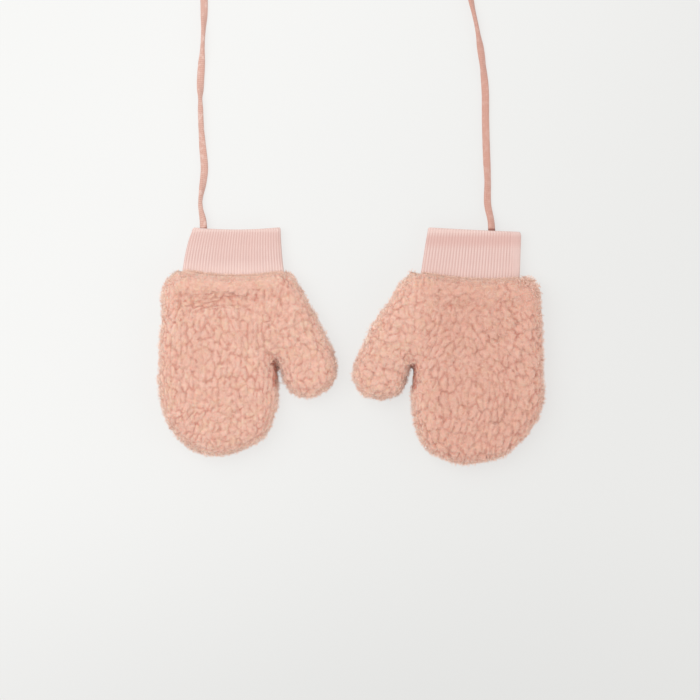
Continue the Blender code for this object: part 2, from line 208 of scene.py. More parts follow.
table = bpy.data.meshes.new("table")
corners = [(TABLE_HALF * x, TABLE_HALF * y, 0.0) for x, y in ((-1, -1), (1, -1), (1, 1), (-1, 1))]
table.from_pydata(corners, [], [(0, 1, 2, 3)])
table_top = bpy.data.objects.new("table", table)
scene.collection.objects.link(table_top)
paper = Shader("table", Roughness=0.9, Emission_Strength=TABLE_GLOW)
away = paper.vector("DOT_PRODUCT", paper.place, (0.85, -0.5, 0.0)).ramp(-0.2, 0.2)
glow = paper.blend(away, GLOW_LEFT, GLOW_RIGHT)
towards_tips = paper.part(paper.place, 1).ramp(-0.24, -0.06, 1.0, 0.0)
glow = paper.blend(towards_tips, glow, GLOW_TOWARDS_TIPS, "MULTIPLY")
table.materials.append(paper.finish(Base_Color=TABLE_COLOUR, Emission_Color=glow))

# ---------------------------------------------------------------- the cord
# One flat cord, knitted of soft yarn in narrow columns of stitches. It is sewn
# inside both cuffs, lies slack on the table and turns on its edge here and there.
# Sizes from here on are in mm, where nothing else is said.
CORD_WIDTH = 4.2
CORD_THICKNESS = 2.4
CORD_SQUARENESS = 0.8
CORD_RING_STEP = 0.36
CORD_ROUND_POINTS = 24
CORD_CLEARANCE = 0.05
# no point of any piece lies lower than this
LOWEST = 0.02
# the cord's level in a mouth, and how far from its end it leaves that level and comes down on the table
MOUTH_LEVEL = 3.9
LEAVES_MOUTH = 8.0
ON_TABLE_FROM = 24.0
# from the cord's end to where the shade inside the mouth gives way to daylight
MOUTH_SHADE = (7.1, 8.3)
STITCH_ROW = 1.15
STITCH_COLUMNS = 7
STITCH_STAGGER = 0.35
STITCH_RISE = 0.13
COLUMN_SHARE = 0.55
ROW_SHARE = 0.9
YARN_ON_STITCHES = linear(223, 181, 167)
# painted shade in the valleys between stitches
YARN_VALLEY_SHADE = linear(189, 133, 118)
YARN_PATCHES = linear(216, 164, 148)
YARN_WORN = linear(237, 208, 198)
YARN_TO_THE_RIGHT = linear(205, 148, 132)
YARN_IN_MOUTH = linear(150, 92, 80)
# rings on either side over which a turn of the cord is evened out
TURN_EASE = 12
SPAN_STEPS = 24
# the cord's way over the table, from the left mouth to the right one, in metres
CORD_ROUTE = (
    (-0.0842, 0.0595),
    (-0.0844, 0.0704),
    (-0.0861, 0.0807),
    (-0.0844, 0.0943),
    (-0.0838, 0.1012),
    (-0.0849, 0.1149),
    (-0.0858, 0.1285),
    (-0.0861, 0.1490),
    (-0.0849, 0.1696),
    (-0.0840, 0.1969),
    (-0.0860, 0.2150),
    (-0.0900, 0.2340),
    (-0.0920, 0.2530),
    (-0.0880, 0.2730),
    (-0.0750, 0.2900),
    (-0.0540, 0.3000),
    (-0.0300, 0.3035),
    (-0.0050, 0.3040),
    (0.0200, 0.3030),
    (0.0440, 0.2990),
    (0.0620, 0.2900),
    (0.0725, 0.2760),
    (0.0750, 0.2590),
    (0.0715, 0.2420),
    (0.0675, 0.2250),
    (0.0668, 0.2100),
    (0.0687, 0.1969),
    (0.0720, 0.1815),
    (0.0750, 0.1627),
    (0.0767, 0.1460),
    (0.0769, 0.1285),
    (0.0775, 0.1080),
    (0.0781, 0.0943),
    (0.0781, 0.0807),
    (0.0800, 0.0704),
    (0.0804, 0.0590),
)
# distance from the left end, and turn of the flat side in degrees
CORD_TURNS = (
    (0, 0),
    (10, 12),
    (14, 50),
    (24, 90),
    (37, 168),
    (48, 186),
    (62, 235),
    (79, 240),
    (90, 352),
    (98, 362),
    (112, 446),
    (121, 455),
    (133, 532),
    (165, 560),
    (215, 680),
    (262, 740),
    (320, 860),
    (372, 930),
    (420, 1040),
    (462, 1080),
    (487, 1170),
    (498, 1155),
    (506, 1090),
    (515, 1138),
    (524, 1082),
    (570, 1080),
    (580, 1125),
    (594, 1092),
    (604, 1120),
    (613, 1080),
    (625, 1080),
)


def smooth_curve(points, step):
    """Points about a step apart on a smooth curve through the given ones, both ends kept."""
    knots = np.array(points, float)
    spans = np.sqrt(np.linalg.norm(np.diff(knots, axis=0), axis=1))[:, None]
    slopes = np.diff(knots, axis=0) / spans
    before, after = spans[:-1], spans[1:]
    inner = (slopes[:-1] * after + slopes[1:] * before) / (before + after)
    tangents = np.vstack([slopes[:1], inner, slopes[-1:]])
    t = np.linspace(0.0, 1.0, SPAN_STEPS, endpoint=False)[:, None]
    fine = []
    for start, end, leave, arrive, span in zip(knots, knots[1:], tangents, tangents[1:], spans):
        stretch = (2 * t**3 - 3 * t**2 + 1) * start + (3 * t**2 - 2 * t**3) * end
        stretch += (t**3 - 2 * t**2 + t) * span * leave + (t**3 - t**2) * span * arrive
        fine.append(stretch)
    return even_steps(np.vstack(fine + [knots[-1:]]), step)


def even_steps(points, step):
    """The same line as points an equal way apart, as near to the step as its length allows."""
    lengths = line_lengths(points)
    places = np.linspace(0.0, lengths[-1], max(2, round(lengths[-1] / step) + 1))
    return np.column_stack([np.interp(places, lengths, column) for column in points.T])


def line_lengths(points):
    return np.concatenate([[0.0], np.cumsum(np.linalg.norm(np.diff(points, axis=0), axis=1))])


def smoothstep(low, high, value):
    t = np.clip((value - low) / (high - low), 0.0, 1.0)
    return t * t * (3 - 2 * t)


def unit(vectors):
    return vectors / np.linalg.norm(vectors, axis=1)[:, None]


def ring_faces(rings, count):
    """Quads between rings that follow each other, each a closed ring of count points."""
    first = (np.arange(rings - 1)[:, None] * count + np.arange(count)).ravel()
    after = (np.arange(rings - 1)[:, None] * count + (np.arange(count) + 1) % count).ravel()
    return np.column_stack([first, after, after + count, first + count]).tolist()


def add_piece(name, vertices, faces, material, uv=None):
    """A smooth mesh at the origin, with its place in its points and a UV for each point."""
    mesh = bpy.data.meshes.new(name)
    mesh.from_pydata(vertices.tolist(), [], faces)
    mesh.shade_smooth()
    if uv is not None:
        corners = np.empty(len(mesh.loops), int)
        mesh.loops.foreach_get("vertex_index", corners)
        mesh.uv_layers.new(name="cloth").data.foreach_set("uv", uv[corners].ravel())
    mesh.materials.append(material)
    piece = bpy.data.objects.new(name, mesh)
    scene.collection.objects.link(piece)
    return piece


route = smooth_curve(CORD_ROUTE, CORD_RING_STEP * MM) / MM
along = line_lengths(route)
turn = np.radians(np.interp(along, *np.array(CORD_TURNS, float).T))
evened = 2 * TURN_EASE + 1
turn = np.convolve(np.pad(turn, TURN_EASE, mode="edge"), np.ones(evened) / evened, mode="valid")
from_end = np.minimum(along, along[-1] - along)
half_height = np.hypot(CORD_THICKNESS / 2 * np.cos(turn), CORD_WIDTH / 2 * np.sin(turn))
on_table = smoothstep(LEAVES_MOUTH, ON_TABLE_FROM, from_end)
level = MOUTH_LEVEL + (half_height + CORD_CLEARANCE - MOUTH_LEVEL) * on_table
middle = np.column_stack([route, level])
ahead = unit(np.gradient(middle, axis=0))
side = unit(np.cross(ahead, (0.0, 0.0, 1.0)))
up = np.cross(side, ahead)
flat_way = side * np.cos(turn)[:, None] + up * np.sin(turn)[:, None]
thick_way = up * np.cos(turn)[:, None] - side * np.sin(turn)[:, None]
round_turn = np.arange(CORD_ROUND_POINTS) / CORD_ROUND_POINTS * 2 * math.pi
cosine, sine = np.cos(round_turn), np.sin(round_turn)
across = np.sign(cosine) * np.abs(cosine) ** CORD_SQUARENESS * (CORD_WIDTH / 2 - STITCH_RISE)
through = np.sign(sine) * np.abs(sine) ** CORD_SQUARENESS * (CORD_THICKNESS / 2 - STITCH_RISE)
outward = unit(np.column_stack([cosine / CORD_WIDTH, sine / CORD_THICKNESS]))
column_wave = np.abs(np.cos(STITCH_COLUMNS * round_turn))
row_phase = along[:, None] / STITCH_ROW + STITCH_STAGGER * column_wave
stitch = STITCH_RISE * (COLUMN_SHARE * column_wave + ROW_SHARE * np.abs(np.sin(math.pi * row_phase)))
flat_part = across + outward[:, 0] * stitch
thick_part = through + outward[:, 1] * stitch
rings = middle[:, None] + flat_way[:, None] * flat_part[..., None]
rings = rings + thick_way[:, None] * thick_part[..., None]
rings[..., 2] = np.maximum(rings[..., 2], LOWEST)
cord_rings = len(route)
cord_faces = ring_faces(cord_rings, CORD_ROUND_POINTS)
cord_faces.append(list(range(CORD_ROUND_POINTS))[::-1])
cord_faces.append([(cord_rings - 1) * CORD_ROUND_POINTS + i for i in range(CORD_ROUND_POINTS)])
cord_uv = np.broadcast_arrays(round_turn / (2 * math.pi), along[:, None])
cord_uv = np.stack(cord_uv, axis=-1).reshape(-1, 2)

# the yarn is pale on the stitches, with painted shade in the valleys between them, and worn paler here
# and there; the right-hand strand is a little deeper
yarn = Shader("cord", Roughness=0.9, Sheen_Weight=0.25, Sheen_Roughness=0.5)
u, v = yarn.part(yarn.uv, 0), yarn.part(yarn.uv, 1)
columns = (u * (2 * math.pi * STITCH_COLUMNS)).maths("COSINE").maths("ABSOLUTE")
rows = ((v / STITCH_ROW + columns * STITCH_STAGGER) * math.pi).maths("SINE").maths("ABSOLUTE")
valley_shade = 1 - rows.ramp(0.05, 0.6) * columns.ramp(0.0, 0.5, 0.45, 1.0)
shade = yarn.blend(valley_shade * 0.75, YARN_ON_STITCHES, YARN_VALLEY_SHADE)
patches = yarn.cloud(yarn.place, 90.0, 3.0).ramp(0.35, 0.7, 0.0, 0.4)
shade = yarn.blend(patches, shade, YARN_PATCHES)
worn = yarn.cloud(yarn.place, 330.0, 2.0).ramp(0.5, 0.68, 0.0, 0.5)
shade = yarn.blend(worn, shade, YARN_WORN)
right = yarn.part(yarn.place, 0).ramp(-0.03, 0.05, 0.0, 0.5)
shade = yarn.blend(right, shade, YARN_TO_THE_RIGHT)
in_mouth = v.maths("MINIMUM", float(along[-1]) - v).ramp(*MOUTH_SHADE, 0.85, 0.0)
shade = yarn.blend(in_mouth, shade, YARN_IN_MOUTH)
strands = yarn.cloud(yarn.place, 4200.0, 2.0, 0.6)
knit_normal = yarn.bump(strands + rows * 0.6, 0.00012, 0.8)
knitted = yarn.finish(Base_Color=shade, Normal=knit_normal)
cord = add_piece("knitted_cord", rings.reshape(-1, 3) * MM, cord_faces, knitted, cord_uv)
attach(cord, "root")
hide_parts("cord")

# ---------------------------------------------------------------- the cuffs
# Each cuff is a tube of fine 1 x 1 rib in soft cotton, folded double so that the
# fold is its mouth. Both raw edges are sewn into the wrist seam, which curves
# down in the middle, and the ribs spread a little towards it.
CUFF_WALL = 2.2
CUFF_HOLLOW = 3.4
# how far the cuff rises to meet the thick fleece, and the share of its length that lies flat first
CUFF_LIFT = 3.6
CUFF_FLAT_SHARE = 0.3
SECTION_POWER = 4.5
SECTION_POINTS = 1441
TANGENT_REACH = 0.4
CORNER_POWER = 6
CUFF_OUTSIDE_ROWS = 44
CUFF_FOLD_ROWS = 7
CUFF_INSIDE_ROWS = 12
SEAM_CLEARANCE = 0.3
POINTS_PER_RIB = 8
RIB_RISE = 0.31
RIB_SHARPNESS = 0.8
# the share of a rib's rise that stands in from the cuff's own line, and its relief at the mouth
RIB_SUNK = 0.7
RIB_AT_MOUTH = 0.7
# how much of the relief goes where ribs flatten out, over what width, and between which x, in
# metres, their colours go as well
RIB_FLATTENING = 0.8
RIB_FLATTENING_WIDTH = 2.0
RIB_COLOURS_END = (0.0905, 0.0925)
RIB_STITCH_ROW = 1.15
RIB_CREST = linear(235, 206, 199)
RIB_FURROW_SHADE = linear(216, 178, 170)
RIB_TONE = linear(224, 188, 180)
RIB_SHADE_BETWEEN_STITCHES = linear(208, 168, 160)
# painted shade in a band just below the fold
RIB_BAND_SHADE = linear(214, 168, 159)
RIB_FOLD = linear(244, 218, 210)
# painted light on the ribs next to the seam, where the fleece shades them, more on the left cuff
RIB_PAINTED_LIGHT_AT_SEAM = linear(248, 224, 217)
# round the tube and from the fold to the seam, in metres
# name, x and y of the mouth's two ends and middle, edge x halfway down, and x and y at the wrist
# seam, then how many ribs there are, the x from which they flatten out near the right edge, if
# they do, and how round the mouth's left and right corners are
CUFFS = (
    {
        "name": "left",
        "mouth": ((-90.9, 67.5), (-65.5, 66.1), (-40.2, 67.5)),
        "middle": (-94.0, -39.6),
        "seam": ((-95.8, 42.4), (-67.0, 39.3), (-38.2, 41.6)),
        "ribs": 74,
        "plain_from": 1000.0,
        "corners": (2.2, 0.5),
    },
    {
        "name": "right",
        "mouth": ((43.9, 67.4), (70.4, 65.9), (97.1, 64.8)),
        "middle": (41.9, 96.7),
        "seam": ((39.9, 41.2), (68.0, 37.4), (96.0, 37.8)),
        "ribs": 70,
        "plain_from": 91.5,
        "corners": (0.5, 1.4),
    },
)


def arc_through(three_points, x):
    """Height at x of the parabola through three points."""
    return np.polyval(np.polyfit(*np.array(three_points).T, 2), x)


def cuff_section(half_width, half_height, places):
    """Points and outward directions round a flattened tube, at places from 0 to 1."""
    turn = np.linspace(-0.5 * math.pi, 1.5 * math.pi, SECTION_POINTS)
    across, through = np.cos(turn), np.sin(turn)
    line = np.column_stack(
        [
            half_width * np.sign(across) * np.abs(across) ** (2 / SECTION_POWER),
            half_height * np.sign(through) * np.abs(through) ** (2 / SECTION_POWER),
        ]
    )
    lengths = line_lengths(line)
    at = places * lengths[-1]
    points, before, after = (
        np.column_stack([np.interp((at + shift) % lengths[-1], lengths, column) for column in line.T])
        for shift in (0.0, -TANGENT_REACH, TANGENT_REACH)
    )
    way = unit(after - before)
    return points, np.column_stack([way[:, 1], -way[:, 0]])


def cuff_profile():
    """Rows up the outside from the seam, over the fold and down the inside.

    Each is its share of the way from mouth to seam, its rise past the mouth and its inset.
    """
    outside = np.linspace(1.0, 0.0, CUFF_OUTSIDE_ROWS)
    arc = np.linspace(0.0, math.pi, CUFF_FOLD_ROWS + 2)[1:-1]
    inside = np.linspace(0.0, 1.0, CUFF_INSIDE_ROWS)
    inset = CUFF_WALL / 2
    rows = [(share, 0.0, 0.0) for share in outside]
    rows += [(0.0, inset * math.sin(a), inset * (1 - math.cos(a))) for a in arc]
    rows += [(share, 0.0, CUFF_WALL) for share in inside]
    return rows


def knit_cuff(sizes):
    """The cuff's points, ring by ring, with a UV in ribs round and millimetres along."""
    count = sizes["ribs"] * POINTS_PER_RIB
    places = np.arange(count) / count
    rib = (0.5 + 0.5 * np.cos(2 * math.pi * places * sizes["ribs"])) ** RIB_SHARPNESS
    mouth, middle, seam = (np.array(sizes[key], float) for key in ("mouth", "middle", "seam"))
    sides = [((0.0, mouth[2 * i][0]), (0.5, middle[i]), (1.0, seam[2 * i][0])) for i in (0, 1)]
    rings, uvs = [], []
    for share, rise, inset in cuff_profile():
        edges = [arc_through(side_line, share) for side_line in sides]
        centre, half_width = sum(edges) / 2, (edges[1] - edges[0]) / 2
        half_height = CUFF_WALL + CUFF_HOLLOW / 2
        points, outward = cuff_section(half_width - inset, half_height - inset, places)
        flat_to = sizes["plain_from"] + RIB_FLATTENING_WIDTH
        kept = 1 - RIB_FLATTENING * smoothstep(sizes["plain_from"], flat_to, centre + points[:, 0])
        depth = RIB_RISE * (RIB_AT_MOUTH + (1 - RIB_AT_MOUTH) * smoothstep(0.0, 0.8, share)) * kept
        points = points + outward * ((rib - RIB_SUNK) * depth)[:, None]
        reach = points[:, 0] / half_width
        mouth_x = (mouth[0][0] + mouth[2][0]) / 2 + reach * (mouth[2][0] - mouth[0][0]) / 2
        seam_x = (seam[0][0] + seam[2][0]) / 2 + reach * (seam[2][0] - seam[0][0]) / 2
        at_mouth = arc_through(mouth, mouth_x) - CUFF_WALL / 2
        at_seam = arc_through(seam, seam_x) + SEAM_CLEARANCE
        from_side = half_width * (1 - np.abs(reach))
        corner = np.where(reach < 0, *sizes["corners"])
        drop = corner - np.sqrt(corner**2 - np.clip(corner - from_side, 0.0, corner) ** 2)
        y = at_mouth + (at_seam - at_mouth) * share + rise - drop * (1 - share) ** CORNER_POWER
        lift = CUFF_LIFT * smoothstep(CUFF_FLAT_SHARE, 1.0, share)
        z = np.maximum(lift + half_height + points[:, 1], LOWEST)
        rings.append(np.column_stack([centre + points[:, 0], y, z]))
        uvs.append(np.column_stack([places * sizes["ribs"], np.full(count, at_mouth.mean()) - y + inset]))
    return np.vstack(rings), np.vstack(uvs), len(rings), count


def rib_material():
    """Pale rib: round knit columns, painted shade in the furrows between them and small V stitches along
    them.
    """
    knit = Shader("rib", Roughness=0.88, Sheen_Weight=0.2, Sheen_Roughness=0.45)
    u, v = knit.part(knit.uv, 0), knit.part(knit.uv, 1)
    x = knit.part(knit.place, 0)
    plain = x.ramp(*RIB_COLOURS_END)
    crest = ((u * (2 * math.pi)).maths("COSINE") * 0.5 + 0.5) * (1 - plain) + plain * 0.5
    lean = (u * (2 * math.pi)).maths("SINE").maths("ABSOLUTE")
    stitch = ((v / RIB_STITCH_ROW + lean * 0.3) * math.pi).maths("SINE").maths("ABSOLUTE")
    # painted shade in the furrows between the rib's columns
    shade = knit.blend(crest.ramp(0.05, 0.75), RIB_FURROW_SHADE, RIB_CREST)
    tone = knit.cloud(knit.place, 70.0, 3.0).ramp(0.3, 0.75, 0.0, 0.4)
    shade = knit.blend(tone, shade, RIB_TONE)
    # painted shade between the V stitches on each rib's crest
    shade = knit.blend((1 - stitch) * crest * 0.2, shade, RIB_SHADE_BETWEEN_STITCHES)
    # painted shade in a band just below the fold, a pale line on it, and painted light on the ribs
    # by the seam, where the fleece shades them
    band_shade = v.ramp(1.2, 3.5) * v.ramp(5.5, 11.0, 1.0, 0.0) * x.ramp(-0.05, 0.06, 0.1, 0.5)
    shade = knit.blend(band_shade, shade, RIB_BAND_SHADE)
    shade = knit.blend(v.ramp(0.0, 1.5, 0.4, 0.0), shade, RIB_FOLD)
    # painted light next to the seam, against the shade that the fleece casts on the ribs
    painted_light_at_seam = v.ramp(15.0, 26.0) * x.ramp(-0.03, 0.03, 0.45, 0.1)
    shade = knit.blend(painted_light_at_seam, shade, RIB_PAINTED_LIGHT_AT_SEAM)
    fibres = knit.cloud(knit.place, 4500.0, 2.0, 0.6)
    relief = knit.bump(stitch * crest * 0.7 + fibres * 0.5, 0.00012, 0.7)
    return knit.finish(Base_Color=shade, Normal=relief)


cuff_rib = rib_material()
for sizes in CUFFS:
    points, cuff_uv, rows_made, count = knit_cuff(sizes)
    faces = ring_faces(rows_made, count)
    last = (rows_made - 1) * count
    ends = [[i, last + i, last + (i + 1) % count, (i + 1) % count] for i in range(count)]
    cuff = add_piece(f"rib_cuff_{sizes['name']}", points * MM, faces + ends, cuff_rib, cuff_uv)
    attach(cuff, "root")
    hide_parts(f"mitten_{sizes['name']}_cuff")

# ---------------------------------------------------------------- the fleece hands
# Back and palm of each hand are thick teddy fleece: a knitted ground whose pile
# has curled into soft, uneven nubs with thin furrows between them. They are sewn
# together round the edge, inside out, so that the pile hides the seam.
BACK_VOXEL = 0.46
PALM_VOXEL = 0.8
SMOOTH_ROUNDS = 6
WELD_REACH = 1e-6
# how squarely a point faces the inside to be thinned out there, and the share of points kept
INSIDE_FACING = -0.97
INSIDE_KEEP = 0.05
# the pile begins between these two ways of facing, from inside to outside
PILE_FROM = (-0.85, -0.3)
# the rim sewn to the cuff: its depth, how it fades in from the sides, and its rise
WRIST_RIM = (0.3, 1.1)
WRIST_SIDES = 2.5
WRIST_PUFF = 0.1
# nubs, the broad furrows and the fine lines between them, and the small curls on them
FURROW_DEPTH = 0.7
FURROW_HALF_WIDTH = 1.9
FURROW_POWER = 2.4
LINE_HALF_WIDTH = 0.8
UNFOLD_FROM = 17.0
NUB_UNEVENNESS = 0.3
NUB_CROWN = 0.6
CROWN_NARROWING = 1.5
CURL_SIZE = 1.7
CURL_HEIGHT = 0.3
FIBRE_HEIGHT = 0.12
# how much painted shade the hollows between curls get, as the furrows do
CURL_HOLLOWS = 0.2
# how the nubs' rows wander: scale and reach of each wave
WANDERING = ((0.03, 9.0), (0.15, 2.0), (0.55, 0.8))
# the outer rim of a hand: drawn in, more lumpy, and wandering in and out
RIM_INSET = 1.2
RIM_LUMPS = 0.9
RIM_WANDER = 6.0
# half width and half height of the narrow slot between thumb and hand, where the pile is
# pressed thin
SLOT_REACH = (3.6, 9.5)
SLOT_INSET = 1.0
# the single hairs on the nubs, and each one's own share of their length, least and most
HAIRS_PER_MM2 = 1.55
HAIR_LENGTH = 1.7
HAIR_SIZES = (0.55, 1.35)
HAIR_WIDTH = 0.17
HAIR_TAPER = 0.8
HAIR_TANGLE = 0.75
# a hair's curve in shares of its length: from inside the cloth, up and then over
HAIR_CURVE = {"Start": (0.0, 0.0, -0.1), "Middle": (0.05, 0.0, 0.6), "End": (0.75, 0.0, 0.62)}
HAIR_STEPS = 3
# how many hairs for that number grow on a side, how many fewer on top and in the slot, and how
# many more at the wrist
SIDE_CROWD = 1.6
TOP_THINNING = 0.8
SLOT_THINNING = 0.85
WRIST_CROWD = 1.9
# how much hairs at the wrist lean over the cuff, and up
WRIST_LEAN = 0.8
WRIST_LEAN_UP = 0.5
# the seam between palm and back: its level, how far off hairs lean over it, how many more of
# them there are, how far they lean and how much longer they are
SEAM_LEVEL = 6.5
SEAM_REACH = 2.2
SEAM_CROWD = 1.6
SEAM_LEAN = 1.1
SEAM_HAIRS_LONGER = 0.35
# x, y and reach of the spot where the hairs are longest, and how much longer
LONG_HAIRS = (102.0, 33.0, 10.0, 0.5)
PILE_DEPTH = {
    "Subsurface_Weight": 0.5,
    "Subsurface_Radius": (1.0, 0.55, 0.45),
    "Subsurface_Scale": 0.003,
}
PILE_NUB = linear(237, 195, 178)
# painted shade in the furrows and in the hollows between curls
PILE_FURROW_SHADE = linear(223, 163, 145)
PILE_TONE = linear(230, 181, 161)
PILE_WARMTH = linear(236, 202, 174)
PILE_TO_THE_RIGHT = linear(218, 164, 145)
PILE_STRANDS = linear(243, 213, 197)
# partly the pile's pale tips, partly painted light on shaded rims and over the wrist seam's shade
PALE_TIPS_AND_RIM_LIGHT = linear(250, 224, 208)
# painted shade on the hand's wall beside the slot
SLOT_PAINTED_SHADE = linear(205, 137, 118)
HAIR_ROOT = linear(232, 186, 168)
HAIR_TIP = linear(247, 221, 207)
HAIR_TINT = linear(236, 195, 178)
HAIR_FURROW_SHADE = linear(226, 166, 147)
# a panel's cut, as wide and as long as it is at most, in metres
# each hand's noise seed, how far its nubs lean, the middle of its slot, the area of a panel in
# square metres, its nubs, and areas where they run another way: x, y, half width and half
# height of the area, direction of the nubs in degrees, how long for their width, width, share
# of the furrows, and how far the area rises
HANDS = (
    {
        "name": "left",
        "seed": 11.0,
        "lean": 0.1,
        "slot": (-44.3, -15.5),
        "area": 0.0098,
        "flows": (
            (0, 0, 0, 0, 88, 1.9, 3.5, 0.85, 0.0),
            (-78, 25, 24, 5.5, 4, 2.8, 2.3, 1.0, -0.1),
            (-70, 37, 30, 6, 10, 1.3, 4.6, 0.3, 0.1),
            (-74, -47, 40, 17, 70, 1.35, 3.6, 0.85, 0.0),
            (-22, -5, 18, 34, 100, 1.15, 4.5, 0.85, 0.0),
            (-101, 42, 7, 6, 10, 1.3, 4.6, 0.4, -0.9),
        ),
    },
    {
        "name": "right",
        "seed": 47.0,
        "lean": 0.35,
        "slot": (36.4, -17.5),
        "area": 0.0107,
        "flows": (
            (0, 0, 0, 0, 84, 2.0, 3.5, 1.0, 0.0),
            (26, 0, 24, 40, 70, 1.15, 4.4, 0.85, 0.0),
            (56, 2, 16, 18, 62, 1.8, 3.6, 1.0, 0.0),
            (92, 2, 26, 28, 118, 1.8, 3.5, 1.0, 0.0),
            (72, 30, 34, 9, 12, 1.4, 4.8, 0.8, 0.2),
            (101, 31, 9, 11, 60, 1.5, 5.0, 0.25, 0.0),
            (35, 41, 6, 5, 70, 1.15, 4.5, 0.6, -0.8),
        ),
    },
)


class Growth(Tree):
    """A tree of geometry nodes with named inputs, which is run on an object for its mesh."""

    SOCKETS = {float: "Float", int: "Int", bpy.types.Material: "Material"}

    def __init__(self, name, **inputs):
        self.tree = bpy.data.node_groups.new(name, "GeometryNodeTree")
        face = self.tree.interface
        face.new_socket("Geometry", in_out="INPUT", socket_type="NodeSocketGeometry")
        face.new_socket("Geometry", in_out="OUTPUT", socket_type="NodeSocketGeometry")
        self.settings = {}
        for label, value in inputs.items():
            kind = next(word for known, word in self.SOCKETS.items() if isinstance(value, known))
            label = label.replace("_", " ")
            made = face.new_socket(label, in_out="INPUT", socket_type="NodeSocket" + kind)
            self.settings[made.identifier] = value
        self.start = self.tree.nodes.new("NodeGroupInput")
        self.geometry = self.start.outputs["Geometry"]
        self.place = self.node("GeometryNodeInputPosition").outputs[0]
        self.normal = self.node("GeometryNodeInputNormal").outputs[0]

    def input(self, label):
        return Value(self, self.start.outputs[label])

    def named(self, name):
        found = self.node("GeometryNodeInputNamedAttribute", {"data_type": "FLOAT"}, {"Name": name})
        return Value(self, found.outputs["Attribute"])

    def store(self, geometry, name, value, domain="POINT"):
        settings = {"data_type": "FLOAT", "domain": domain}
        inputs = {"Geometry": geometry, "Name": name, "Value": value}
        return self.node("GeometryNodeStoreNamedAttribute", settings, inputs).outputs[0]

    def joined(self, **parts):
        """A vector from its X, Y and Z, of which those left out are nothing."""
        return self.node("ShaderNodeCombineXYZ", None, parts).outputs[0]

    def random(self, low, high, seed):
        inputs = {2: low, 3: high, "Seed": seed}
        return Value(self, self.node("FunctionNodeRandomValue", {"data_type": "FLOAT"}, inputs).outputs[1])

    def oval_distance(self, place, x, y, half_width, half_height):
        """How far a place lies from the middle of an upright oval, where 1 is on its line."""
        off = self.vector("SUBTRACT", place, (x, y, 0.0))
        return self.vector("LENGTH", self.vector("MULTIPLY", off, (1 / half_width, 1 / half_height, 0.0)))

    def centred(self, place, scale, detail, reach):
        """Noise in three directions, either side of nothing."""
        cloud = self.noise(place, scale, detail).outputs["Color"]
        return self.vector("SCALE", self.vector("SUBTRACT", cloud, (0.5, 0.5, 0.5)), reach)

    def cells(self, place, feature, dimensions="2D"):
        settings = {"voronoi_dimensions": dimensions, "feature": feature}
        return self.node("ShaderNodeTexVoronoi", settings, {"Vector": place, "Scale": 1.0, "Randomness": 0.8})

    def above_table(self, geometry):
        """Lifts every point that has come below the table back onto it."""
        x, y, z = self.node("ShaderNodeSeparateXYZ", None, {0: self.place}).outputs
        lifted = self.joined(X=x, Y=y, Z=Value(self, z).maths("MAXIMUM", LOWEST * MM))
        inputs = {"Geometry": geometry, "Position": lifted}
        return self.node("GeometryNodeSetPosition", None, inputs).outputs[0]

    def finish(self, geometry):
        whole = self.node("GeometryNodeRealizeInstances", None, {0: geometry}).outputs[0]
        inputs = {"Geometry": whole, "Material": self.start.outputs["Material"]}
        dressed = self.node("GeometryNodeSetMaterial", None, inputs).outputs[0]
        self.tree.links.new(dressed, self.tree.nodes.new("NodeGroupOutput").inputs[0])

    def grow(self, start, name):
        """A new piece, with the mesh that the tree makes of this object."""
        modifier = start.modifiers.new("growth", "NODES")
        modifier.node_group = self.tree
        for identifier, value in self.settings.items():
            modifier[identifier] = value
        piece = bpy.data.objects.new(name, evaluated_mesh(start))
        scene.collection.objects.link(piece)
        start.modifiers.remove(modifier)
        return piece


def evaluated_mesh(start):
    graph = bpy.context.evaluated_depsgraph_get()
    return bpy.data.meshes.new_from_object(start.evaluated_get(graph), depsgraph=graph)


def read_vectors(items, field):
    """One vector for each vertex: its place, or which way it faces."""
    found = np.empty(len(items) * 3, np.float32)
    items.foreach_get(field, found)
    return found.reshape(-1, 3)


def fine_panel(node, outward_sign, voxel, wrist_line):
    """A finely divided copy of a panel's solid that knows how much pile each point carries."""
    panel = bpy.data.objects.new("panel", nodes[node].data.copy())
    scene.collection.objects.link(panel)
    weld = panel.modifiers.new("weld", "WELD")
    weld.merge_threshold = WELD_REACH
    remesh = panel.modifiers.new("remesh", "REMESH")
    remesh.mode = "VOXEL"
    remesh.voxel_size = voxel * MM
    smooth = panel.modifiers.new("smooth", "SMOOTH")
    smooth.iterations = SMOOTH_ROUNDS
    panel.data = evaluated_mesh(panel)
    panel.modifiers.clear()
    facing = read_vectors(panel.data.vertex_normals, "vector")[:, 2] * outward_sign
    inside = panel.vertex_groups.new(name="inside")
    inside.add(np.flatnonzero(facing < INSIDE_FACING).tolist(), 1.0, "REPLACE")
    thin = panel.modifiers.new("thin", "DECIMATE")
    thin.ratio = INSIDE_KEEP
    thin.vertex_group = "inside"
    panel.data = evaluated_mesh(panel)
    panel.modifiers.clear()
    facing = read_vectors(panel.data.vertex_normals, "vector")[:, 2] * outward_sign
    points = read_vectors(panel.data.vertices, "co") / MM
    to_wrist = arc_through(wrist_line, points[:, 0]) - points[:, 1]
    within = smoothstep(0.0, WRIST_SIDES, points[:, 0] - wrist_line[0][0])
    within *= smoothstep(0.0, WRIST_SIDES, wrist_line[2][0] - points[:, 0])
    shares = {
        "pile": smoothstep(*PILE_FROM, facing),
        "wrist": (1 - smoothstep(*WRIST_RIM, to_wrist)) * within,
    }
    for name, share in shares.items():
        panel.data.attributes.new(name, "FLOAT", "POINT").data.foreach_set("value", share)
    return panel


